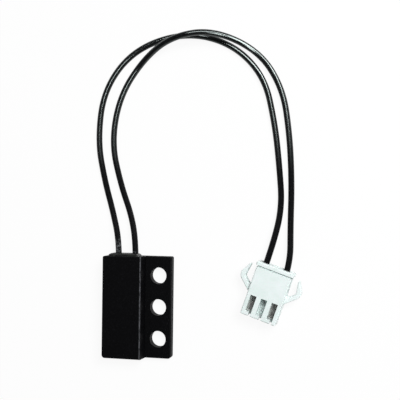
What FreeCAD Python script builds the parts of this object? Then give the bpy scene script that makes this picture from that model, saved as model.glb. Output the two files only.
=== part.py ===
"""Flange-mount reed switch with two wire leads and a snap-in panel plug.

A black moulded case has a raised box along its left side and a thin flange with
three fixing holes along its right. The box is open at the wire end. It holds a
glass reed capsule, soldered to two insulated wires and sealed in with potting
compound. The wires arch over to a white plug with three cavities. The two outer
ones hold a folded crimp contact each, and a springy wing on either side of the
plug snaps into a panel.

Frame, in millimetres: origin under the middle of the switch, +X towards the
flange, +Y towards the wire end, +Z up. The plug lies beside the case, turned
about Z, with its own +Y towards the wires.
"""

import FreeCAD, Part
import math
import os

os.makedirs("parts", exist_ok=True)

V = FreeCAD.Vector
Y_AXIS = V(0, 1, 0)
Z_AXIS = V(0, 0, 1)

# Clearances
bond_gap = 0.02             # round each piece that is sealed in or gripped
overshoot = 1.0             # how far a cutting tool runs past the face that it opens
tiny = 0.001                # places closer than this count as the same

# Moulded case
case_length = 28.6
case_width = 19.05
case_height = 6.35
box_width = 11.2            # top of the raised box
flange_thickness = 2.5
step_draft = 0.35           # how far the box's inner side leans out at its foot
box_side_wall = 1.2
box_skin = 1.0              # floor and roof of the box
box_end_wall = 1.6
cavity_corner_radius = 0.5
case_end_radius = 0.9       # upright corners at the closed end
case_mouth_radius = 0.5     # and at the open end
case_edge_radius = 0.3
flange_edge_radius = 0.4
hole_diameter = 4.6
hole_pitch = 8.9
hole_count = 3
hole_edge_distance = 3.8    # hole centre to the flange's outer edge

# Potting compound
potting_dome = 0.8          # how far it stands out of the box's mouth
potting_dome_reach = 1.3    # how far in from the rim it stops rising

# Round ends are built in short tapers, at these angles round an ellipse
nose_steps = (0.0, 45.0, 90.0)
dome_steps = (0.0, 28.0, 56.0, 84.0)

# Insulated wires
wire_diameter = 1.7
wire_spacing = 4.9          # between the two wires at the case
wire_embed = 2.6            # insulation inside the potting compound
wire_b_wall_gap = 0.425     # between wire B and the cavity's side
strand_diameter = 0.76      # bare conductor
bare_strand = 1.7           # between the insulation and the reed lead's cut end
solder_lap = 1.5            # conductor and reed lead side by side

# Reed switch
glass_length = 12.0
glass_diameter = 2.2
glass_wall = 0.3
glass_seal = 1.7            # solid glass round the lead at each end
glass_nose_length = 1.2
glass_nose_radius = 0.55
glass_dome_length = 0.6     # rounded end of the inner chamber
lead_diameter = 0.5
lead_tail = 3.4             # reed lead outside the glass, up to its cut end
lead_fold_start = 1.0       # straight lead between the glass and the fold
lead_bend_radius = 0.9      # at the fold's two corners
blade_width = 1.0
blade_thickness = 0.2
blade_gap = 0.12            # between the two contact faces when open
blade_overlap = 1.2
blade_tip_radius = 0.3
flattening_length = 1.0     # round wire to flat blade

# Sleeve and solder
sleeve_diameter = 1.1
sleeve_clearance = 0.05
sleeve_inset = 0.6          # sleeve ends short of the fold and of the solder
solder_length = 2.6
solder_diameter = 1.64
solder_end_diameter = 1.0
solder_taper = 0.55         # length of each tapered end

# Plug housing
plug_x = 38.86
plug_y = 11.07
plug_angle = -19.0
plug_width = 10.0
plug_height = 5.6
plug_length = 13.9          # mating end to the collar
plug_edge_radius = 0.35     # along the body
plug_end_bevel = 0.2        # round the mating end and the collar's rear
collar_length = 0.95
collar_step = 0.3           # how far the collar stands proud all round
collar_edge_radius = 0.4
neck_length = 0.5
neck_depth = 0.35
contact_pitch = 3.05
cavity_extra_height = 0.1   # a cavity is this much taller than it is wide
front_wall = 1.0
pin_opening = 1.3
pin_lead_in = 0.25
window_width = 1.7
window_length = 4.7
notch_width = 0.65

# Panel wings on the plug. Reach is out from the plug's side, back is from the collar.
wing_height = 3.0
wing_root_front = 7.8
wing_root_width = 1.9
wing_corner_reach = 4.15    # where the outer flanks would meet
wing_corner_back = 4.1
wing_corner_width = 1.85    # from there to where the inner flanks would meet
wing_outer_radius = 2.0
wing_inner_radius = 1.0
wing_crotch_reach = 0.4     # bottom of the gap between a wing and the plug's side
wing_crotch_fade = 1.2      # from there back to where the wing leaves the side
wing_crotch_radius = 0.45
wing_tip_reach = 1.95
wing_tip_width = 0.4
wing_tip_back = 0.5         # room for the panel between the tip and the collar
wing_bevel = 0.18

# Crimp contacts
sheet = 0.25
contact_side_gap = 0.1      # between a contact's box and its cavity's side
barrel_side_gap = 0.08      # between the insulation barrel and the cavity's side
contact_front_gap = 0.2
contact_box_length = 4.8
insulation_barrel_length = 1.6
insulation_end = 3.1        # end of the wire's insulation, in from the collar
conductor_barrel_length = 1.8
barrel_spacing = 0.6        # between the two barrels
barrel_seam = 30.0          # open angle along the top of a barrel
lance_length = 1.7
lance_width = 1.1
lance_rise = 0.6
lance_gap = 0.15            # free end to the rear of the window
tongue_width = 1.2
tongue_thickness = 0.15
tongue_length = 4.1
tongue_rise = 1.1           # at its crest
tongue_end_rise = 0.35      # at its free end

# Share of the shorter run on either side that a bend in a wire takes up
bend_share = 0.45

# Routes of the wires between the case and the plug, chosen by eye. The first two
# points and the last two are worked out from the pieces that the wire runs into.
floor_z = wire_diameter / 2
hump_z = 5.4                # top of wire B where it crosses wire A
wire_exit_run_a = 6.5
wire_exit_run_b = 6.0
wire_entry_run_a = 8.8
wire_entry_run_b = 6.2
route_a = [
    V(-8.35, 26.0, floor_z),
    V(-11.0, 35.0, floor_z),
    V(-13.3, 46.5, floor_z),
    V(-11.65, 61.25, floor_z),
    V(-2.8, 72.45, floor_z),
    V(12.0, 76.9, floor_z),
    V(25.35, 73.5, floor_z),
    V(34.7, 64.2, floor_z),
    V(37.8, 50.95, floor_z),
    V(39.2, 39.0, floor_z),
    V(40.05, 28.0, floor_z),
]
route_b = [
    V(-2.8, 25.0, floor_z),
    V(-6.2, 34.0, floor_z),
    V(-9.1, 46.0, floor_z),
    V(-6.85, 59.15, floor_z),
    V(0.0, 69.5, floor_z),
    V(9.3, 74.9, hump_z),
    V(21.0, 76.4, hump_z),
    V(33.1, 71.1, floor_z),
    V(39.85, 60.6, floor_z),
    V(41.85, 48.0, floor_z),
    V(42.6, 35.0, floor_z),
    V(42.4, 22.8, floor_z),
]

# Places worked out from the sizes above
case_left = -case_width / 2
case_right = case_width / 2
case_mid_y = -potting_dome / 2
mouth_y = case_mid_y + case_length / 2
closed_y = case_mid_y - case_length / 2
box_right = case_left + box_width
cavity_left = case_left + box_side_wall
cavity_right = box_right - box_side_wall
cavity_end_y = closed_y + box_end_wall
axis_z = case_height / 2
lead_r = lead_diameter / 2
strand_r = strand_diameter / 2
wire_r = wire_diameter / 2
wire_b_x = cavity_right - wire_b_wall_gap - wire_r
wire_a_x = wire_b_x - wire_spacing
wire_start_y = mouth_y - wire_embed
lead_offset = lead_r + strand_r + bond_gap
capsule_x = wire_a_x + lead_offset
return_x = wire_b_x - lead_offset
reed_offset = (blade_gap + blade_thickness) / 2
lead_end_y = wire_start_y - bare_strand
capsule_mid_y = lead_end_y - lead_tail - glass_length / 2
strand_end_y = lead_end_y - solder_lap
solder_y = lead_end_y - solder_lap / 2
chamber_half = glass_length / 2 - glass_seal
hinge_half = chamber_half - flattening_length
fold_y = capsule_mid_y - glass_length / 2 - lead_fold_start
fold_end_y = fold_y - lead_bend_radius
plug_axis_z = plug_height / 2 + collar_step
cavity_width = wire_diameter + 2 * (bond_gap + sheet + barrel_side_gap)
cavity_height = cavity_width + cavity_extra_height
cavity_top_z = plug_axis_z + cavity_height / 2
window_rear_y = -(plug_length - front_wall - window_length)


def box(x0, x1, y0, y1, z0, z1):
    """Block between two opposite corners."""
    return Part.makeBox(x1 - x0, y1 - y0, z1 - z0, V(x0, y0, z0))


def rod(radius, start, end):
    """Round bar from one point to another."""
    return Part.makeCylinder(radius, (end - start).Length, start, end - start)


def line(a, b):
    return Part.LineSegment(a, b).toShape()


def arc(a, b, c):
    return Part.Arc(a, b, c).toShape()


def prism(edges, direction):
    """Solid swept from a closed flat outline along a straight line."""
    return Part.Face(Part.Wire(edges)).extrude(direction)


def polygon_prism(points, direction):
    return Part.Face(Part.makePolygon(points + [points[0]])).extrude(direction)


def turned(stations, x, z):
    """Solid turned about the line along Y through x, z. Each station gives the
    place along the line and the radius there."""
    outline = [V(x, stations[0][0], z)]
    outline += [V(x + radius, y, z) for y, radius in stations]
    outline += [V(x, stations[-1][0], z), outline[0]]
    return Part.Face(Part.makePolygon(outline)).revolve(V(x, 0, z), Y_AXIS, 360)


def edges_where(shape, wanted):
    """Edges whose middle and direction pass the test."""
    chosen = []
    for edge in shape.Edges:
        if edge.Degenerated:
            continue
        middle = edge.valueAt((edge.FirstParameter + edge.LastParameter) / 2)
        if wanted(middle, edge.tangentAt(edge.FirstParameter)):
            chosen.append(edge)
    return chosen


def round_edges(shape, radius, wanted):
    return shape.makeFillet(radius, edges_where(shape, wanted))


def bevel_edges(shape, size, wanted):
    return shape.makeChamfer(size, edges_where(shape, wanted))


def along(direction, axis):
    return abs(direction.dot(axis)) > 1 - tiny


def near(a, b):
    return abs(a - b) < tiny


def rounded_rectangle(x0, x1, z0, z1, radius, y):
    """Upright outline at y, with quarter-circle corners."""
    cut = radius * (1 - math.sqrt(0.5))
    return Part.Wire([
        line(V(x0 + radius, y, z0), V(x1 - radius, y, z0)),
        arc(V(x1 - radius, y, z0), V(x1 - cut, y, z0 + cut), V(x1, y, z0 + radius)),
        line(V(x1, y, z0 + radius), V(x1, y, z1 - radius)),
        arc(V(x1, y, z1 - radius), V(x1 - cut, y, z1 - cut), V(x1 - radius, y, z1)),
        line(V(x1 - radius, y, z1), V(x0 + radius, y, z1)),
        arc(V(x0 + radius, y, z1), V(x0 + cut, y, z1 - cut), V(x0, y, z1 - radius)),
        line(V(x0, y, z1 - radius), V(x0, y, z0 + radius)),
        arc(V(x0, y, z0 + radius), V(x0 + cut, y, z0 + cut), V(x0 + radius, y, z0)),
    ])


def cavity_outline(inset, y):
    """Section of the box's cavity, drawn in by the inset."""
    radius = cavity_corner_radius - min(inset, cavity_corner_radius / 2)
    return rounded_rectangle(
        cavity_left + inset, cavity_right - inset,
        box_skin + inset, case_height - box_skin - inset,
        radius, y,
    )


def case_section():
    """Raised box and flange seen from the wire end."""
    return [
        V(case_left, closed_y, 0),
        V(case_right, closed_y, 0),
        V(case_right, closed_y, flange_thickness),
        V(box_right + step_draft, closed_y, flange_thickness),
        V(box_right, closed_y, case_height),
        V(case_left, closed_y, case_height),
    ]


def fixing_holes():
    """Cutting tools for the holes along the flange."""
    x = case_right - hole_edge_distance
    holes = []
    for index in range(hole_count):
        y = case_mid_y + (index - (hole_count - 1) / 2) * hole_pitch
        bottom = V(x, y, -overshoot)
        top = V(x, y, flange_thickness + overshoot)
        holes.append(rod(hole_diameter / 2, bottom, top))
    return holes


def case_shell():
    """Case moulded in one piece, open at the wire end."""
    body = polygon_prism(case_section(), V(0, case_length, 0))
    body = round_edges(body, case_end_radius, lambda p, d: (
        near(p.y, closed_y) and along(d, Z_AXIS) and near(abs(p.x), case_width / 2)))
    body = round_edges(body, case_mouth_radius, lambda p, d: (
        near(p.y, mouth_y) and along(d, Z_AXIS) and near(abs(p.x), case_width / 2)))
    body = round_edges(body, case_edge_radius, lambda p, d: (
        near(p.z, case_height) and p.y < mouth_y - tiny))
    body = round_edges(body, flange_edge_radius, lambda p, d: (
        near(p.z, flange_thickness) and p.x > box_right + 2 * step_draft
        and p.y < mouth_y - tiny))
    cavity = Part.Face(cavity_outline(0, cavity_end_y)).extrude(V(0, case_length, 0))
    return body.cut([cavity] + fixing_holes())


def potting_block():
    """Compound that fills the cavity, with a domed skin over the mouth."""
    mouth = cavity_outline(bond_gap, mouth_y)
    depth = V(0, cavity_end_y + bond_gap - mouth_y, 0)
    block = Part.Face(mouth).extrude(depth)
    top = math.sin(math.radians(dome_steps[-1]))
    rings = []
    for step in dome_steps:
        angle = math.radians(step)
        inset = bond_gap + potting_dome_reach * (1 - math.cos(angle))
        rings.append(cavity_outline(inset, mouth_y + potting_dome * math.sin(angle) / top))
    return block.fuse(Part.makeLoft(rings, True, True))


def rounded_end(end_y, length, tip_r, full_r):
    """Stations of a round end, from its tip to where it reaches full size.
    The length is negative for an end that faces up the line."""
    stations = []
    for step in nose_steps:
        angle = math.radians(step)
        y = end_y + length * (1 - math.cos(angle))
        stations.append((y, tip_r + (full_r - tip_r) * math.sin(angle)))
    return stations


def glass_outside(grow=0.0):
    """Outer form of the capsule: a tube with rounded noses."""
    tip_r = glass_nose_radius + grow
    full_r = glass_diameter / 2 + grow
    half = glass_length / 2 + grow
    low = rounded_end(capsule_mid_y - half, glass_nose_length, tip_r, full_r)
    high = rounded_end(capsule_mid_y + half, -glass_nose_length, tip_r, full_r)
    return turned(low + high[::-1], capsule_x, axis_z)


def glass_chamber():
    """Sealed space inside the capsule."""
    full_r = glass_diameter / 2 - glass_wall
    low = rounded_end(capsule_mid_y - chamber_half, glass_dome_length, lead_r, full_r)
    high = rounded_end(capsule_mid_y + chamber_half, -glass_dome_length, lead_r, full_r)
    return turned(low + high[::-1], capsule_x, axis_z)


def glass_capsule():
    """Glass tube, sealed round a lead at each end."""
    glass = glass_outside().cut(glass_chamber())
    return glass.cut([lead_a_wire(bond_gap)] + lead_b_runs(bond_gap))


def reed_z(side):
    """Height of a reed's centre plane: side 1 is reed A, on top."""
    return axis_z + side * reed_offset


def lead_a_wire(grow=0.0):
    """Round part of reed A, from the chamber to its cut end."""
    z = reed_z(1)
    start = V(capsule_x, capsule_mid_y + chamber_half, z)
    return rod(lead_r + grow, start, V(capsule_x, lead_end_y + grow, z))


def lead_b_runs(grow):
    """Straight runs of lead B on either side of its fold, made wider."""
    z = reed_z(-1)
    seal = V(capsule_x, capsule_mid_y - chamber_half, z)
    end = V(return_x, lead_end_y + grow, z)
    return [
        rod(lead_r + grow, V(capsule_x, fold_y, z), seal),
        rod(lead_r + grow, V(return_x, fold_y, z), end),
    ]


def corner_arc(start, corner, end):
    """Quarter circle that rounds the corner between its two ends."""
    centre = start + end - corner
    outward = (corner - centre).normalize()
    return arc(start, centre + outward * (start - centre).Length, end)


def lead_b_wire():
    """Round part of reed B, folded back beside the capsule with two bends."""
    z = reed_z(-1)
    start = V(capsule_x, capsule_mid_y - chamber_half, z)
    bends = [
        V(capsule_x, fold_y, z),
        V(capsule_x + lead_bend_radius, fold_end_y, z),
        V(return_x - lead_bend_radius, fold_end_y, z),
        V(return_x, fold_y, z),
    ]
    path = Part.Wire([
        line(start, bends[0]),
        corner_arc(bends[0], V(capsule_x, fold_end_y, z), bends[1]),
        line(bends[1], bends[2]),
        corner_arc(bends[2], V(return_x, fold_end_y, z), bends[3]),
        line(bends[3], V(return_x, lead_end_y, z)),
    ])
    return swept_tube(path, start, bends[0] - start, lead_r)


def fold_block(grow):
    """Block inside the fold's centre line, made wider by grow."""
    half = lead_r + bond_gap
    z = reed_z(-1)
    block = box(capsule_x - grow, return_x + grow,
                fold_end_y - grow, fold_y + bond_gap, z - half, z + half)
    return round_edges(block, lead_bend_radius + grow, lambda p, d: (
        along(d, Z_AXIS) and p.y < fold_end_y + lead_bend_radius / 2))


def fold_slot():
    """Slot in the compound for the fold of lead B, square in section."""
    half = lead_r + bond_gap
    return fold_block(half).cut(fold_block(-half))


def round_section(y, z):
    """Circle of the lead, split into four arcs for the loft."""
    def at(degrees):
        angle = math.radians(degrees)
        return V(capsule_x + lead_r * math.cos(angle), y, z + lead_r * math.sin(angle))
    return Part.Wire([
        arc(at(60), at(90), at(120)),
        arc(at(120), at(180), at(240)),
        arc(at(240), at(270), at(300)),
        arc(at(300), at(0), at(60)),
    ])


def flat_section(y, z):
    """Blade rolled flat, with round sides."""
    half = (blade_width - blade_thickness) / 2
    t = blade_thickness / 2
    return Part.Wire([
        line(V(capsule_x + half, y, z + t), V(capsule_x - half, y, z + t)),
        arc(V(capsule_x - half, y, z + t), V(capsule_x - half - t, y, z),
            V(capsule_x - half, y, z - t)),
        line(V(capsule_x - half, y, z - t), V(capsule_x + half, y, z - t)),
        arc(V(capsule_x + half, y, z - t), V(capsule_x + half + t, y, z),
            V(capsule_x + half, y, z + t)),
    ])


def flattened_root(side):
    """Stretch of a reed that goes from round to flat inside the chamber."""
    z = reed_z(side)
    round_y = capsule_mid_y + side * chamber_half
    flat_y = capsule_mid_y + side * hinge_half
    return Part.makeLoft([round_section(round_y, z), flat_section(flat_y, z)], True)


def reed_lead(side):
    """Fixed part of a reed: side 1 is reed A, side -1 reed B."""
    wire = lead_a_wire() if side > 0 else lead_b_wire()
    return wire.fuse(flattened_root(side))


def reed_blade(side):
    """Flexing part of a reed, with a rounded tip at the contact."""
    z = reed_z(side)
    root_y = capsule_mid_y + side * (hinge_half - bond_gap)
    tip_y = capsule_mid_y - side * blade_overlap / 2
    strip = Part.Face(flat_section(root_y, z)).extrude(V(0, tip_y - root_y, 0))
    plan = box(
        capsule_x - blade_width / 2, capsule_x + blade_width / 2,
        min(root_y, tip_y), max(root_y, tip_y),
        z - blade_thickness, z + blade_thickness,
    )
    plan = round_edges(plan, blade_tip_radius, lambda p, d: (
        along(d, Z_AXIS) and near(p.y, tip_y)))
    return strip.common(plan)


def sleeve_outside(grow=0.0):
    """Outer form of the insulating sleeve on the folded lead."""
    z = reed_z(-1)
    start = V(return_x, fold_y + sleeve_inset - grow, z)
    end = V(return_x, solder_y - solder_length / 2 - sleeve_inset + grow, z)
    return rod(sleeve_diameter / 2 + grow, start, end)


def lead_sleeve():
    return sleeve_outside().cut(lead_b_runs(sleeve_clearance))


def solder_blob(lead_x, strand_x, lead_z, grow=0.0):
    """Solder round a reed lead and a conductor that lie side by side."""
    mid_x = (lead_x + strand_x) / 2 + math.copysign(strand_r - lead_r, strand_x - lead_x) / 2
    mid_z = (lead_z + axis_z) / 2
    half = solder_length / 2 + grow
    full = half - solder_taper
    end_r = solder_end_diameter / 2 + grow
    full_r = solder_diameter / 2 + grow
    return turned([
        (solder_y - half, end_r),
        (solder_y - full, full_r),
        (solder_y + full, full_r),
        (solder_y + half, end_r),
    ], mid_x, mid_z)


def strand(x, grow=0.0):
    """Bare conductor from the wire's insulation to the solder."""
    return rod(strand_r + grow, V(x, strand_end_y - grow, axis_z), V(x, wire_start_y, axis_z))


def solder_joint(side):
    """Solder of lead A or B, open where the two metals pass."""
    if side > 0:
        blob = solder_blob(capsule_x, wire_a_x, reed_z(1))
        return blob.cut([lead_a_wire(bond_gap), strand(wire_a_x, bond_gap)])
    blob = solder_blob(return_x, wire_b_x, reed_z(-1))
    return blob.cut(lead_b_runs(bond_gap) + [strand(wire_b_x, bond_gap)])


def wire_stub(x, grow=0.0):
    """Straight stretch of insulated wire where it passes the potting."""
    start = V(x, wire_start_y, axis_z)
    return rod(wire_r + grow, start, V(x, mouth_y + potting_dome + overshoot, axis_z))


def potting_compound():
    """Compound round everything in the cavity."""
    return potting_block().cut(lead_b_runs(bond_gap) + [
        glass_outside(bond_gap),
        lead_a_wire(bond_gap),
        fold_slot(),
        sleeve_outside(bond_gap),
        solder_blob(capsule_x, wire_a_x, reed_z(1), bond_gap),
        solder_blob(return_x, wire_b_x, reed_z(-1), bond_gap),
        strand(wire_a_x, bond_gap),
        strand(wire_b_x, bond_gap),
        wire_stub(wire_a_x, bond_gap),
        wire_stub(wire_b_x, bond_gap),
    ])


def swept_tube(path, start, direction, radius):
    """Round solid along a smooth path."""
    circle = Part.Wire(Part.Circle(start, direction, radius).toShape())
    return path.makePipeShell([circle], True, False)


def place_plug(shape):
    """Turn and move a piece from the plug's own frame to the model's."""
    shape.rotate(V(0, 0, 0), Z_AXIS, plug_angle)
    shape.translate(V(plug_x, plug_y, 0))
    return shape


def plug_point(x, y):
    """Point on the plug's axis plane, given in the plug's own frame."""
    angle = math.radians(plug_angle)
    return V(
        plug_x + x * math.cos(angle) - y * math.sin(angle),
        plug_y + x * math.sin(angle) + y * math.cos(angle),
        plug_axis_z,
    )


def wire_points(x, exit_run, route, contact_x, entry_run):
    """Whole route of one wire, from inside the case to inside the plug."""
    start = V(x, wire_start_y, axis_z)
    leave = V(x, wire_start_y + exit_run, axis_z)
    enter = plug_point(contact_x, entry_run - insulation_end)
    end = plug_point(contact_x, -insulation_end)
    return [start, leave] + route + [enter, end]


def cord(name, points):
    """Plain tube of straight runs joined by tangent arcs, with its figures printed."""
    edges = []
    radii = []
    last = points[0]
    length = 0.0
    for before, corner, after in zip(points, points[1:], points[2:]):
        run_in = corner - before
        run_out = after - corner
        shorter = min(run_in.Length, run_out.Length)
        turn = run_in.getAngle(run_out)
        reach = bend_share * shorter
        radius = reach / math.tan(turn / 2)
        unit_in = run_in.normalize()
        unit_out = run_out.normalize()
        bend_start = corner - unit_in * reach
        bend_end = corner + unit_out * reach
        inward = (unit_out - unit_in).normalize()
        centre_distance = radius / math.cos(turn / 2)
        middle = corner + inward * (centre_distance - radius)
        edges.append(line(last, bend_start))
        edges.append(arc(bend_start, middle, bend_end))
        length += (bend_start - last).Length + radius * turn
        radii.append(round(radius, 1))
        last = bend_end
    edges.append(line(last, points[-1]))
    length += (points[-1] - last).Length
    tube = swept_tube(Part.Wire(edges), points[0], points[1] - points[0], wire_r)
    share = tube.Volume / (math.pi * wire_r ** 2 * length)
    print(name, "length", round(length, 1), "radii", radii, "volume share", round(share, 5))
    return tube


def wing_outline(side):
    """Corners of a panel wing seen from above: side -1 is the left one. It is
    rooted in the plug's side, runs out and back, and turns in to a thin tip."""
    def at(reach, back):
        return V(side * (plug_width / 2 + reach), -back, plug_axis_z - wing_height / 2)
    crotch_back = wing_root_front - wing_root_width
    return [
        at(-plug_edge_radius, wing_root_front),
        at(0, wing_root_front),
        at(wing_corner_reach, wing_corner_back),
        at(wing_tip_reach + wing_tip_width / 2, wing_tip_back),
        at(wing_tip_reach - wing_tip_width / 2, wing_tip_back),
        at(wing_corner_reach - wing_corner_width, wing_corner_back),
        at(wing_crotch_reach, crotch_back),
        at(0, crotch_back - wing_crotch_fade),
        at(-plug_edge_radius, crotch_back - wing_crotch_fade),
    ]


def wing(side):
    """Springy wing that locks the plug in a panel."""
    corners = wing_outline(side)
    blade = polygon_prism(corners, V(0, 0, wing_height))
    bends = (
        (corners[2], wing_outer_radius),
        (corners[5], wing_inner_radius),
        (corners[6], wing_crotch_radius),
    )
    for corner, radius in bends:
        blade = round_edges(blade, radius, lambda p, d: (
            near(p.x, corner.x) and near(p.y, corner.y)))
    bottom = plug_axis_z - wing_height / 2
    bevel = min(wing_bevel, wing_tip_width / 2 - bond_gap)
    return bevel_edges(blade, bevel, lambda p, d: (
        (near(p.z, bottom) or near(p.z, bottom + wing_height))
        and abs(p.x) > plug_width / 2 + bevel))


def contact_places():
    """The three cavities, left to right."""
    return [-contact_pitch, 0.0, contact_pitch]


def plug_body():
    """Outer form of the plug: body, neck and collar."""
    half = plug_width / 2
    low = plug_axis_z - plug_height / 2
    high = plug_axis_z + plug_height / 2
    body = box(-half, half, -plug_length, 0, low, high)
    body = round_edges(body, plug_edge_radius, lambda p, d: along(d, Y_AXIS))
    body = bevel_edges(body, plug_end_bevel, lambda p, d: near(p.y, -plug_length))
    neck = box(
        -half + neck_depth, half - neck_depth, -neck_length, overshoot,
        low + neck_depth, high - neck_depth,
    )
    body = body.cut(box(-plug_width, plug_width, -neck_length, 0, -overshoot, 2 * plug_height))
    collar = box(
        -half - collar_step, half + collar_step, 0, collar_length,
        low - collar_step, high + collar_step,
    )
    collar = round_edges(collar, collar_edge_radius, lambda p, d: along(d, Y_AXIS))
    collar = bevel_edges(collar, plug_end_bevel, lambda p, d: near(p.y, collar_length))
    return body.fuse([neck, collar])


def pin_mouth(x):
    """Square opening for the mating pin, flared at the front face."""
    half = pin_opening / 2
    wide = half + pin_lead_in
    front = -plug_length
    z = plug_axis_z
    shaft = box(x - half, x + half, front - overshoot, front + front_wall + overshoot,
                z - half, z + half)
    flare = Part.makeLoft([
        Part.makePolygon([
            V(x - r, y, z - r), V(x + r, y, z - r), V(x + r, y, z + r),
            V(x - r, y, z + r), V(x - r, y, z - r),
        ])
        for r, y in ((wide, front), (half, front + pin_lead_in))
    ], True)
    return shaft.fuse(flare)


def cavity_cuts(x):
    """Everything that is open at one of the plug's three places."""
    front_y = -plug_length + front_wall
    cavity = box(
        x - cavity_width / 2, x + cavity_width / 2, front_y, collar_length + overshoot,
        plug_axis_z - cavity_height / 2, cavity_top_z,
    )
    top = plug_height + 2 * collar_step + overshoot
    window = box(x - window_width / 2, x + window_width / 2,
                 front_y, window_rear_y, plug_axis_z, top)
    notch_right = x + window_width / 2
    notch = box(notch_right - notch_width, notch_right,
                -plug_length - overshoot, front_y + overshoot, plug_axis_z + pin_opening / 2, top)
    return [cavity, window, notch, pin_mouth(x)]


def connector_housing():
    """Plug housing, moulded in one piece with its wings."""
    housing = plug_body().fuse([wing(-1), wing(1)])
    cuts = []
    for x in contact_places():
        cuts += cavity_cuts(x)
    return housing.cut(cuts)


def rolled_sheet(front_r, front_y, rear_r, rear_y, angle):
    """Sheet rolled round the contact's axis, symmetrical about its floor."""
    corners = [
        V(front_r, front_y, 0),
        V(front_r + sheet, front_y, 0),
        V(rear_r + sheet, rear_y, 0),
        V(rear_r, rear_y, 0),
        V(front_r, front_y, 0),
    ]
    rolled = Part.Face(Part.makePolygon(corners)).revolve(V(0, 0, 0), Y_AXIS, angle)
    rolled.rotate(V(0, 0, 0), Y_AXIS, 90 - angle / 2)
    return rolled


def barrel(inner_r, front_y, rear_y):
    """Crimp barrel, open along a seam at the top."""
    return rolled_sheet(inner_r, front_y, inner_r, rear_y, 360 - barrel_seam)


def contact_box(front_y, rear_y):
    """Folded box that grips the mating pin, with the seam underneath."""
    half = cavity_width / 2 - contact_side_gap
    inner = half - sheet
    shell = Part.Face(rounded_rectangle(-half, half, -half, half, sheet, front_y))
    hollow = Part.Face(rounded_rectangle(-inner, inner, -inner, inner, sheet / 2, front_y))
    length = V(0, rear_y - front_y, 0)
    seam = box(-bond_gap, bond_gap, front_y, rear_y, -half, -inner)
    return shell.extrude(length).cut([hollow.extrude(length), seam])


def lance():
    """Tab bent up out of the box's roof, which stops behind the window's rear."""
    top = cavity_width / 2 - contact_side_gap
    free_y = window_rear_y - lance_gap
    root_y = free_y - lance_length
    x = -lance_width / 2
    return polygon_prism([
        V(x, root_y, top - sheet),
        V(x, root_y, top),
        V(x, free_y, top + lance_rise),
        V(x, free_y, top + lance_rise - sheet),
    ], V(lance_width, 0, 0))


def spring_tongue(front_y):
    """Arched spring inside the box, rooted at the front of its floor."""
    floor = -(cavity_width / 2 - contact_side_gap - sheet)
    x = -tongue_width / 2
    start = V(x, front_y, floor)
    crest = V(x, front_y + tongue_length / 2, floor + tongue_rise)
    end = V(x, front_y + tongue_length, floor + tongue_end_rise)
    down = V(0, 0, -tongue_thickness)
    return prism([
        arc(start, crest, end),
        line(end, end + down),
        arc(end + down, crest + down, start + down),
        line(start + down, start),
    ], V(tongue_width, 0, 0))


def terminal(place):
    """Crimp contact, folded from one sheet: box, neck and two barrels."""
    box_front = -plug_length + front_wall + contact_front_gap
    box_rear = box_front + contact_box_length
    insulation_front = -insulation_end + bond_gap
    insulation_rear = insulation_front + insulation_barrel_length
    conductor_rear = insulation_front - barrel_spacing
    conductor_front = conductor_rear - conductor_barrel_length
    conductor_r = strand_r + bond_gap
    neck_r = cavity_width / 2 - contact_side_gap - sheet
    piece = contact_box(box_front, box_rear)
    free_y = window_rear_y - lance_gap
    opening = box(
        -lance_width / 2 - bond_gap, lance_width / 2 + bond_gap,
        free_y - lance_length, min(free_y + bond_gap, box_rear + overshoot),
        neck_r, neck_r + 2 * sheet,
    )
    piece = piece.cut(opening).fuse([
        lance(),
        spring_tongue(box_front),
        rolled_sheet(neck_r, box_rear - sheet, conductor_r, conductor_front, 180),
        barrel(conductor_r, conductor_front, conductor_rear),
        rolled_sheet(conductor_r, conductor_rear, wire_r + bond_gap, insulation_front, 180),
        barrel(wire_r + bond_gap, insulation_front, insulation_rear),
    ])
    piece.translate(V(place, 0, plug_axis_z))
    return place_plug(piece)


def crimped_end(place):
    """Bare conductor in the contact's smaller barrel."""
    conductor_front = -insulation_end - barrel_spacing - conductor_barrel_length
    start = V(place, conductor_front - strand_r, plug_axis_z)
    return place_plug(rod(strand_r, start, V(place, -insulation_end, plug_axis_z)))


def save(name, shape):
    """Write one node and say whether it is a sound solid."""
    shape = shape.removeSplitter()
    shape.exportStep("parts/" + name + ".step")
    print(name, "solids", len(shape.Solids), "valid", shape.isValid(),
          "volume", round(shape.Volume, 3))


def main():
    left, _, right = contact_places()
    save("sensor_housing", case_shell())
    save("potting_compound", potting_compound())
    save("glass_capsule", glass_capsule())
    save("reed_lead_a", reed_lead(1))
    save("reed_lead_b", reed_lead(-1))
    save("reed_blade_a", reed_blade(1))
    save("reed_blade_b", reed_blade(-1))
    save("lead_sleeve", lead_sleeve())
    save("solder_joint_a", solder_joint(1))
    save("solder_joint_b", solder_joint(-1))
    save("tinned_end_a", strand(wire_a_x))
    save("tinned_end_b", strand(wire_b_x))
    save("connector_housing", place_plug(connector_housing()))
    save("terminal_a", terminal(left))
    save("terminal_b", terminal(right))
    save("crimped_end_a", crimped_end(left))
    save("crimped_end_b", crimped_end(right))
    points_a = wire_points(wire_a_x, wire_exit_run_a, route_a, left, wire_entry_run_a)
    points_b = wire_points(wire_b_x, wire_exit_run_b, route_b, right, wire_entry_run_b)
    save("wire_a", cord("wire_a", points_a))
    save("wire_b", cord("wire_b", points_b))


main()
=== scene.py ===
"""Looks of a flange-mount reed switch with two wires and a snap-in panel plug.

Metres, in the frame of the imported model: origin under the middle of the switch, +X towards
the flange, +Y towards the wires, +Z up. The plug is turned about Z.
"""

import math

import bmesh
import bpy
from mathutils import Matrix, Vector


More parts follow.
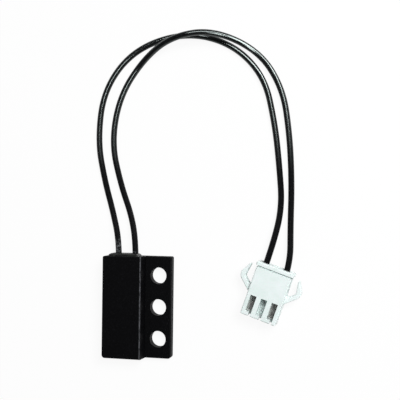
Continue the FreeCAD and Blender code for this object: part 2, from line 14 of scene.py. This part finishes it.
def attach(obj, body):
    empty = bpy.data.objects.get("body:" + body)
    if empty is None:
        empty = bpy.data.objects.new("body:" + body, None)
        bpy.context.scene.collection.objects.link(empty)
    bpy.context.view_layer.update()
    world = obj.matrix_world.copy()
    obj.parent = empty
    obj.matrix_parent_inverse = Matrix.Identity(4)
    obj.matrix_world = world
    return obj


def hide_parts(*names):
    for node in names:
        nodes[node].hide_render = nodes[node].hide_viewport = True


MM = 0.001
BODY = "switch"

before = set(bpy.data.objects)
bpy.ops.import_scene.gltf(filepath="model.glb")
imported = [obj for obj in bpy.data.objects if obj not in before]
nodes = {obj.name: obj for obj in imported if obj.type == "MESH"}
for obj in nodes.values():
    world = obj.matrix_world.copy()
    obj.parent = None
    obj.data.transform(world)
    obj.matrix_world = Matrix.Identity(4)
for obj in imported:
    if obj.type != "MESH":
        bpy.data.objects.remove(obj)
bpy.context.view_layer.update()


# Camera at the photograph's viewing angle
CAMERA_DISTANCE = 230 * MM
CAMERA_TILT = math.radians(12.812)      # towards +X
CAMERA_ROLL = math.radians(0.715)
CAMERA_AIM = Vector((16.84, 29.875, 0)) * MM
FOCAL_PIXELS = 820.479
PHOTO_PIXELS = 400
SENSOR_MM = 36


def make_camera():
    data = bpy.data.cameras.new("camera")
    data.sensor_width = SENSOR_MM
    data.lens = FOCAL_PIXELS / PHOTO_PIXELS * SENSOR_MM
    data.clip_start = 10 * MM
    data.clip_end = 10
    camera = bpy.data.objects.new("camera", data)
    bpy.context.scene.collection.objects.link(camera)
    back = Vector((math.sin(CAMERA_TILT), 0, math.cos(CAMERA_TILT)))
    right = Vector((0, 1, 0)).cross(back).normalized()
    up = back.cross(right)
    level = Matrix((right, up, back)).transposed()
    turned = level @ Matrix.Rotation(CAMERA_ROLL, 3, "Z")
    camera.matrix_world = Matrix.Translation(CAMERA_AIM + back * CAMERA_DISTANCE) @ turned.to_4x4()
    bpy.context.scene.camera = camera


make_camera()


# Wires, along the same routes as their solids, whose points are in mm
WIRE_DIAMETER = 1.7 * MM
WIRE_SIDES = 24
LINE_STEPS = 16             # points of the smooth line for each point of the route
FLOOR_Z = 0.85              # middle of a wire that lies on the floor
HUMP_Z = 5.4                # middle of wire B where it crosses over wire A
ROUTE_A = [
    (-5.7, 11.3, 3.175), (-5.7, 17.8, 3.175), (-8.35, 26.0, FLOOR_Z), (-11.0, 35.0, FLOOR_Z),
    (-13.3, 46.5, FLOOR_Z), (-11.65, 61.25, FLOOR_Z), (-2.8, 72.45, FLOOR_Z),
    (12.0, 76.9, FLOOR_Z), (25.35, 73.5, FLOOR_Z), (34.7, 64.2, FLOOR_Z), (37.8, 50.95, FLOOR_Z),
    (39.2, 39.0, FLOOR_Z), (40.05, 28.0, FLOOR_Z), (37.832, 17.452, 3.1), (34.967, 9.132, 3.1),
]
ROUTE_B = [
    (-0.8, 11.3, 3.175), (-0.8, 17.3, 3.175), (-2.8, 25.0, FLOOR_Z), (-6.2, 34.0, FLOOR_Z),
    (-9.1, 46.0, FLOOR_Z), (-6.85, 59.15, FLOOR_Z), (0.0, 69.5, FLOOR_Z), (9.3, 74.9, HUMP_Z),
    (21.0, 76.4, HUMP_Z), (33.1, 71.1, FLOOR_Z), (39.85, 60.6, FLOOR_Z),
    (41.85, 48.0, FLOOR_Z), (42.6, 35.0, FLOOR_Z), (42.4, 22.8, FLOOR_Z),
    (42.753, 13.008, 3.1), (40.735, 7.146, 3.1),
]


def route_line(route):
    """Points along a smooth line with the route's points as its control points."""
    data = bpy.data.curves.new("route", "CURVE")
    data.dimensions = "3D"
    data.resolution_u = LINE_STEPS
    spline = data.splines.new("NURBS")
    spline.points.add(len(route) - 1)
    for point, place in zip(spline.points, route):
        point.co = (*(Vector(place) * MM), 1)
    spline.order_u = 3
    spline.use_endpoint_u = True
    holder = bpy.data.objects.new("route", data)
    mesh = bpy.data.meshes.new_from_object(holder)
    line = [vertex.co.copy() for vertex in mesh.vertices]
    bpy.data.objects.remove(holder)
    bpy.data.curves.remove(data)
    bpy.data.meshes.remove(mesh)
    return line


def tube_mesh(name, line, radius, sides):
    """Closed tube round a line of points, carried along it without twist."""
    mesh = bpy.data.meshes.new(name)
    made = bmesh.new()
    ways = [(line[min(i + 1, len(line) - 1)] - line[max(i - 1, 0)]).normalized()
            for i in range(len(line))]
    side = ways[0].cross(Vector((0, 0, 1))).normalized()
    rings = []
    for place, way in zip(line, ways):
        side = (side - way * side.dot(way)).normalized()
        over = way.cross(side)
        turns = [2 * math.pi * k / sides for k in range(sides)]
        rings.append([made.verts.new(place + radius * (math.cos(t) * side + math.sin(t) * over))
                      for t in turns])
    for ring, after in zip(rings, rings[1:]):
        for k in range(sides):
            made.faces.new((ring[k], ring[k - 1], after[k - 1], after[k]))
    made.faces.new(rings[0])
    made.faces.new(reversed(rings[-1]))
    bmesh.ops.recalc_face_normals(made, faces=made.faces)
    for face in made.faces:
        face.smooth = len(face.verts) == 4
    made.to_mesh(mesh)
    made.free()
    return mesh


def make_wire(name, route, node):
    line = route_line(route)
    wire = bpy.data.objects.new(name, tube_mesh(name, line, WIRE_DIAMETER / 2, WIRE_SIDES))
    bpy.context.scene.collection.objects.link(wire)
    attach(wire, BODY)
    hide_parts(node)
    return wire


wire_a = make_wire("wire_a_insulation", ROUTE_A, "wire_a")
wire_b = make_wire("wire_b_insulation", ROUTE_B, "wire_b")


# Materials, with places in mm
BOX_EDGE_X = 1.5            # long upper edge of the box, towards the flange, where a highlight is painted
CASE_TOP_Z = 6.35
UNSMEARED_X = 20            # resin smears the wires at the case, not at the plug
SMEARED_X = 10
SHADED_GLOSS_Y = 36                 # the photograph shows hardly any gloss on the wires up to here, where their gloss is painted out as shade
FULL_GLOSS_Y = 64               # and a clear streak from here on


class Shader:
    """A node material with one Principled shader, built by short calls."""

    def __init__(self, name, color, roughness, **numbers):
        self.material = bpy.data.materials.new(name)
        self.material.use_nodes = True
        self.tree = self.material.node_tree
        self.principled = self.tree.nodes["Principled BSDF"]
        self.set(self.principled, "Base Color", (*color, 1))
        self.set(self.principled, "Roughness", roughness)
        for key, value in numbers.items():
            self.set(self.principled, key.replace("_", " "), value)
        self.place = self.node("ShaderNodeTexCoord").outputs["Object"]
        self.parts = None

    def node(self, kind, **settings):
        made = self.tree.nodes.new(kind)
        for key, value in settings.items():
            setattr(made, key, value)
        return made

    def set(self, node, key, value):
        node.inputs[key].default_value = value

    def link(self, out, into):
        self.tree.links.new(out, into)

    def noise(self, size_mm, detail=3, roughness=0.55, stretch=None):
        """Noise with features of about that size, stretched along some axes if asked."""
        place = self.place
        if stretch:
            mapping = self.node("ShaderNodeMapping")
            self.set(mapping, "Scale", stretch)
            self.link(place, mapping.inputs["Vector"])
            place = mapping.outputs["Vector"]
        texture = self.node("ShaderNodeTexNoise")
        self.set(texture, "Scale", 1 / (size_mm * MM))
        self.set(texture, "Detail", detail)
        self.set(texture, "Roughness", roughness)
        self.link(place, texture.inputs["Vector"])
        return texture.outputs["Fac"]

    def ramp(self, fac, *stops):
        """Colour ramp over (position, colour) stops, where a colour may be one grey number."""
        ramp = self.node("ShaderNodeValToRGB")
        elements = ramp.color_ramp.elements
        while len(elements) < len(stops):
            elements.new(0.5)
        for element, (position, color) in zip(elements, stops):
            element.position = position
            if isinstance(color, (int, float)):
                color = (color, color, color)
            element.color = (*color, 1)
        self.link(fac, ramp.inputs["Fac"])
        return ramp.outputs["Color"]

    def mix(self, fac, a, b):
        """Colour a where fac is 0 and b where it is 1, each an output or a plain colour."""
        mix = self.node("ShaderNodeMix", data_type="RGBA")
        sockets = {socket.name: socket for socket in mix.inputs if socket.enabled}
        self.link(fac, sockets["Factor"])
        for key, value in (("A", a), ("B", b)):
            if isinstance(value, bpy.types.NodeSocket):
                self.link(value, sockets[key])
            else:
                sockets[key].default_value = (*value, 1)
        return next(socket for socket in mix.outputs if socket.enabled)

    def along(self, axis):
        """Place along an axis, in metres."""
        if not self.parts:
            self.parts = self.node("ShaderNodeSeparateXYZ")
            self.link(self.place, self.parts.inputs[0])
        return self.parts.outputs[axis]

    def fade(self, length, zero_mm, one_mm):
        """Smooth change from 0 at the first length to 1 at the second."""
        fade = self.node("ShaderNodeMapRange", interpolation_type="SMOOTHSTEP")
        self.set(fade, "From Min", zero_mm * MM)
        self.set(fade, "From Max", one_mm * MM)
        self.link(length, fade.inputs["Value"])
        return fade.outputs["Result"]

    def band(self, axis, middle_mm, half_mm):
        """1 near that place along an axis and 0 from half_mm away."""
        away = self.node("ShaderNodeMath", operation="SUBTRACT")
        self.link(self.along(axis), away.inputs[0])
        self.set(away, 1, middle_mm * MM)
        size = self.node("ShaderNodeMath", operation="ABSOLUTE")
        self.link(away.outputs[0], size.inputs[0])
        return self.fade(size.outputs[0], half_mm, 0.4 * half_mm)

    def rise(self, axis, zero_mm, one_mm):
        """0 on the far side of the first place along an axis and 1 beyond the second."""
        return self.fade(self.along(axis), zero_mm, one_mm)

    def times(self, a, b):
        product = self.node("ShaderNodeMath", operation="MULTIPLY")
        self.link(a, product.inputs[0])
        self.link(b, product.inputs[1])
        return product.outputs[0]

    def color(self, out):
        self.link(out, self.principled.inputs["Base Color"])

    def rough(self, out):
        self.link(out, self.principled.inputs["Roughness"])

    def tint(self, out):
        self.link(out, self.principled.inputs["Specular Tint"])

    def bumps(self, *layers):
        """Bump layers of (height output, depth in mm), the coarsest first."""
        normal = None
        for height, depth_mm in layers:
            bump = self.node("ShaderNodeBump")
            self.set(bump, "Strength", 1)
            self.set(bump, "Distance", depth_mm * MM)
            self.link(height, bump.inputs["Height"])
            if normal:
                self.link(normal, bump.inputs["Normal"])
            normal = bump.outputs["Normal"]
        self.link(normal, self.principled.inputs["Normal"])


def moulded_black():
    """Black moulded plastic with a fine sparkle, and a pale line painted along the box's long
    upper edge as its highlight.
    """
    s = Shader("moulded_black", (0.003, 0.003, 0.0035), 0.5, Specular_IOR_Level=0.08)
    grain = s.noise(0.32, detail=4, roughness=0.75)
    cloud = s.noise(2.5, detail=3)
    speckle = s.ramp(grain, (0.46, (0.0012, 0.0012, 0.0015)), (0.6, (0.004, 0.004, 0.0048)),
                     (0.72, (0.022, 0.023, 0.026)))
    plain = s.mix(s.ramp(cloud, (0.35, 0.0), (0.7, 0.6)), speckle, (0.002, 0.002, 0.0025))
    # painted highlight: a pale streaky line along the box's long upper edge, where its rounded
    # edge catches the lamp
    across = s.band("X", BOX_EDGE_X, 0.22)
    edge_highlight_band = s.times(across, s.band("Z", CASE_TOP_Z, 0.35))
    painted_edge_highlight = s.times(edge_highlight_band, s.ramp(s.noise(0.5, stretch=(1, 0.35, 1)), (0.3, 0.15), (0.6, 1.0)))
    s.color(s.mix(painted_edge_highlight, plain, (0.085, 0.087, 0.095)))
    s.rough(s.ramp(grain, (0.3, 0.6), (0.7, 0.42)))
    s.bumps((cloud, 0.015), (grain, 0.015))
    return s.material


def cast_resin():
    """Black casting resin with an uneven, half glossy skin."""
    s = Shader("cast_resin", (0.01, 0.011, 0.011), 0.3, Specular_IOR_Level=0.3)
    lumps = s.noise(1.3, detail=4)
    grain = s.noise(0.3, detail=3)
    s.color(s.ramp(lumps, (0.42, (0.005, 0.005, 0.006)), (0.6, (0.014, 0.017, 0.014)),
                   (0.75, (0.05, 0.058, 0.045))))
    s.rough(s.ramp(grain, (0.35, 0.22), (0.7, 0.5)))
    s.bumps((lumps, 0.05), (grain, 0.012))
    return s.material


def wire_insulation(name, smear_from, smear_to, smear_share):
    """Black insulation whose gloss is turned down towards the case and the plug as painted shade,
    with resin smeared on at the case, its pale grey a painted highlight.
    """
    s = Shader(name, (0.002, 0.002, 0.0025), 0.25, Specular_IOR_Level=0.5)
    waves = s.noise(2.2, detail=2)
    scuffs = s.noise(0.35, detail=4, roughness=0.7)
    flakes = s.noise(0.55, detail=5, roughness=0.7)
    stretch = s.band("Y", (smear_from + smear_to) / 2, (smear_to - smear_from) / 2)
    near_case = s.times(stretch, s.rise("X", UNSMEARED_X, SMEARED_X))
    resin_and_highlight = s.times(near_case, s.ramp(flakes, (0.6 - smear_share, 0.0), (0.8 - smear_share, 1.0)))
    black = s.ramp(scuffs, (0.45, (0.0015, 0.0015, 0.0018)), (0.8, (0.006, 0.0065, 0.0065)))
    # resin smeared on near the case: the resin is real, its pale grey is a painted highlight
    s.color(s.mix(resin_and_highlight, black, (0.085, 0.092, 0.095)))
    # painted shade: the wires' reflection is turned down towards the case and the plug, as the
    # lamps' streak falls only on the arch
    glossy = s.rise("Y", SHADED_GLOSS_Y, FULL_GLOSS_Y)
    s.tint(s.mix(glossy, (0.01, 0.01, 0.01), (0.88, 1.0, 0.97)))
    s.rough(s.mix(glossy, (0.4, 0.4, 0.4), s.ramp(scuffs, (0.4, 0.13), (0.75, 0.18))))
    s.bumps((waves, 0.012), (scuffs, 0.0006), (resin_and_highlight, 0.01))
    return s.material


def natural_nylon():
    """Natural nylon, slightly translucent and a little uneven in tone."""
    s = Shader("natural_nylon", (0.77, 0.85, 0.84), 0.38, Specular_IOR_Level=0.45)
    s.set(s.principled, "Subsurface Weight", 0.12)
    s.set(s.principled, "Subsurface Radius", (1.0, 1.2, 1.1))
    s.set(s.principled, "Subsurface Scale", 0.5 * MM)
    cloud = s.noise(3.2, detail=3)
    grain = s.noise(0.3, detail=3)
    s.color(s.ramp(cloud, (0.32, (0.73, 0.82, 0.8)), (0.52, (0.77, 0.85, 0.84)),
                   (0.72, (0.8, 0.87, 0.87))))
    s.rough(s.ramp(grain, (0.3, 0.32), (0.7, 0.46)))
    s.bumps((cloud, 0.03), (grain, 0.004))
    return s.material


def sheet_metal(name, color, roughness):
    """Plated metal with fine rolling marks along Y."""
    s = Shader(name, color, roughness, Metallic=1.0)
    streaks = s.noise(0.12, detail=3, stretch=(1, 0.12, 1))
    stains = s.noise(0.8, detail=3)
    dark = tuple(0.72 * c for c in color)
    s.color(s.mix(s.ramp(stains, (0.4, 0.0), (0.75, 0.7)), color, dark))
    s.rough(s.ramp(streaks, (0.3, roughness * 0.75), (0.7, roughness * 1.35)))
    s.bumps((streaks, 0.004))
    return s.material


def solder():
    """Dull solder with a slightly lumpy skin."""
    s = Shader("solder", (0.6, 0.61, 0.63), 0.3, Metallic=1.0)
    lumps = s.noise(0.5, detail=3)
    s.color(s.ramp(lumps, (0.35, (0.48, 0.49, 0.51)), (0.7, (0.68, 0.69, 0.71))))
    s.rough(s.ramp(lumps, (0.3, 0.22), (0.7, 0.42)))
    s.bumps((lumps, 0.03))
    return s.material


def drawn_glass():
    s = Shader("drawn_glass", (0.82, 0.93, 0.86), 0.03, Transmission_Weight=1.0)
    s.bumps((s.noise(1.5, detail=2), 0.006))
    return s.material


def sleeving():
    s = Shader("sleeving", (0.8, 0.78, 0.7), 0.5)
    weave = s.noise(0.15, detail=2, stretch=(1, 0.3, 1))
    s.color(s.ramp(weave, (0.3, (0.72, 0.7, 0.62)), (0.7, (0.84, 0.82, 0.75))))
    s.bumps((weave, 0.01))
    return s.material


def dress_nodes():
    """Give each carried-over node its material, with smooth shading within its faces."""
    plated = sheet_metal("tin_plate", (0.88, 0.87, 0.84), 0.28)
    reed = sheet_metal("nickel_iron", (0.58, 0.55, 0.5), 0.35)
    strand = sheet_metal("tinned_copper", (0.72, 0.68, 0.62), 0.3)
    blob = solder()
    finishes = {
        "sensor_housing": moulded_black(),
        "potting_compound": cast_resin(),
        "connector_housing": natural_nylon(),
        "glass_capsule": drawn_glass(),
        "lead_sleeve": sleeving(),
        "reed_lead_a": reed, "reed_lead_b": reed, "reed_blade_a": reed, "reed_blade_b": reed,
        "solder_joint_a": blob, "solder_joint_b": blob,
        "tinned_end_a": strand, "tinned_end_b": strand,
        "crimped_end_a": strand, "crimped_end_b": strand,
        "terminal_a": plated, "terminal_b": plated,
    }
    for name, material in finishes.items():
        node = nodes[name]
        node.data.materials.clear()
        node.data.materials.append(material)
        node.data.polygons.foreach_set("use_smooth", [True] * len(node.data.polygons))


dress_nodes()
wire_a.data.materials.append(wire_insulation("insulation_a", 12.5, 19.5, 0.12))
wire_b.data.materials.append(wire_insulation("insulation_b", 13.0, 15.6, 0.06))


# Stage and light
FLOOR_SIZE = 6
FLOOR_DROP = 0.02 * MM      # keeps the floor off the underside of the object
FLOOR_GREY = 0.86
FLOOR_GLOW = 0.92           # rest of the floor keeps the object's shadow
GLOSS_GLOW = 0.25           # the same for the floor as gloss shows it
WORLD_LIGHT = 0.25          # what the world gives to matt surfaces
OVERHEAD = 0.02             # how bright the dark side of the studio looks in gloss
WHITE_TO = 0.05             # heights between which the white of the horizon fades out
DARK_FROM = 0.45
LIGHT_AIM = Vector((16, 35, 0)) * MM
SOFTBOX_WIDTH = 200 * MM
SOFTBOX_RADIANCE = 18
STRIP_WIDTH = 50 * MM
STRIP_RADIANCE = 36


def empty_tree(owner):
    owner.use_nodes = True
    owner.node_tree.nodes.clear()
    return owner.node_tree


def show_mixed(tree, output, fac, first, second):
    """Show the first shader where fac is 0 and the second where it is 1."""
    mix = tree.nodes.new("ShaderNodeMixShader")
    tree.links.new(fac, mix.inputs["Fac"])
    tree.links.new(first.outputs[0], mix.inputs[1])
    tree.links.new(second.outputs[0], mix.inputs[2])
    tree.links.new(mix.outputs[0], tree.nodes.new(output).inputs["Surface"])


def background_rays(tree, camera, glossy, transmission):
    """Shares of the plain background that those kinds of ray are shown."""
    path = tree.nodes.new("ShaderNodeLightPath")
    total = None
    for name, share in (("Is Camera Ray", camera), ("Is Glossy Ray", glossy),
                        ("Is Transmission Ray", transmission)):
        part = tree.nodes.new("ShaderNodeMath")
        part.operation = "MULTIPLY_ADD"
        tree.links.new(path.outputs[name], part.inputs[0])
        part.inputs[1].default_value = share
        if total:
            tree.links.new(total, part.inputs[2])
        else:
            part.inputs[2].default_value = 0
        total = part.outputs[0]
    return total


def make_floor():
    """Plain pale floor, which the camera sees as white with the object's shadow."""
    bpy.ops.mesh.primitive_plane_add(size=FLOOR_SIZE, location=(0, 0, -FLOOR_DROP))
    floor = bpy.context.object
    floor.name = "floor"
    material = bpy.data.materials.new("floor")
    tree = empty_tree(material)
    matt = tree.nodes.new("ShaderNodeBsdfDiffuse")
    matt.inputs["Color"].default_value = (FLOOR_GREY, FLOOR_GREY, FLOOR_GREY, 1)
    glow = tree.nodes.new("ShaderNodeEmission")
    glow.inputs["Strength"].default_value = 1
    show_mixed(tree, "ShaderNodeOutputMaterial",
               background_rays(tree, FLOOR_GLOW, GLOSS_GLOW, FLOOR_GLOW), matt, glow)
    floor.data.materials.append(material)


def make_world():
    """White round the horizon and darker overhead, and plain dim light for matt surfaces."""
    world = bpy.data.worlds.new("studio")
    bpy.context.scene.world = world
    tree = empty_tree(world)
    plain = tree.nodes.new("ShaderNodeBackground")
    plain.inputs["Color"].default_value = (1, 1, 1, 1)
    plain.inputs["Strength"].default_value = WORLD_LIGHT
    seen = tree.nodes.new("ShaderNodeBackground")
    place = tree.nodes.new("ShaderNodeTexCoord")
    parts = tree.nodes.new("ShaderNodeSeparateXYZ")
    ramp = tree.nodes.new("ShaderNodeValToRGB")
    for element, position, grey in zip(ramp.color_ramp.elements, (WHITE_TO, DARK_FROM),
                                       (1, OVERHEAD)):
        element.position = position
        element.color = (grey, grey, grey, 1)
    tree.links.new(place.outputs["Generated"], parts.inputs[0])
    tree.links.new(parts.outputs["Z"], ramp.inputs["Fac"])
    tree.links.new(ramp.outputs["Color"], seen.inputs["Color"])
    show_mixed(tree, "ShaderNodeOutputWorld", background_rays(tree, 1, 1, 1), plain, seen)


def make_softbox(name, start_mm, end_mm, width, radiance, receivers):
    """Softbox from start to end, which faces the object and lights those receivers."""
    start = Vector(start_mm) * MM
    end = Vector(end_mm) * MM
    middle = (start + end) / 2
    data = bpy.data.lights.new(name, "AREA")
    data.shape = "RECTANGLE"
    data.size, data.size_y = (end - start).length, width
    data.energy = radiance * math.pi * data.size * data.size_y
    lamp = bpy.data.objects.new(name, data)
    bpy.context.scene.collection.objects.link(lamp)
    lamp.light_linking.receiver_collection = receivers
    long_way = (end - start).normalized()
    back = middle - LIGHT_AIM
    back = (back - long_way * back.dot(long_way)).normalized()
    turn = Matrix((long_way, back.cross(long_way), back)).transposed()
    lamp.matrix_world = Matrix.Translation(middle) @ turn.to_4x4()


def wire_group(name, state):
    """Receivers of a lamp: the wires alone, or all but the wires."""
    group = bpy.data.collections.new(name)
    for index, wire in enumerate((wire_a, wire_b)):
        group.objects.link(wire)
        group.collection_objects[index].light_linking.link_state = state
    return group


def light_stage():
    """A softbox for all but the wires, and strips that only they show, as a narrow streak."""
    make_softbox("softbox", (175, 270, 395), (295, 100, 395), SOFTBOX_WIDTH, SOFTBOX_RADIANCE,
                 wire_group("all_but_wires", "EXCLUDE"))
    wires = wire_group("wires", "INCLUDE")
    for name, start, end in (("strip_right", (180, 90, 414), (299, 313, 214)),
                             ("strip_far", (299, 313, 214), (-118, 190, 419)),
                             ("strip_near", (45, -82, 420), (137, 60, 420))):
        make_softbox(name, start, end, STRIP_WIDTH, STRIP_RADIANCE, wires)


make_floor()
make_world()
light_stage()
bpy.context.scene.view_settings.view_transform = "Standard"
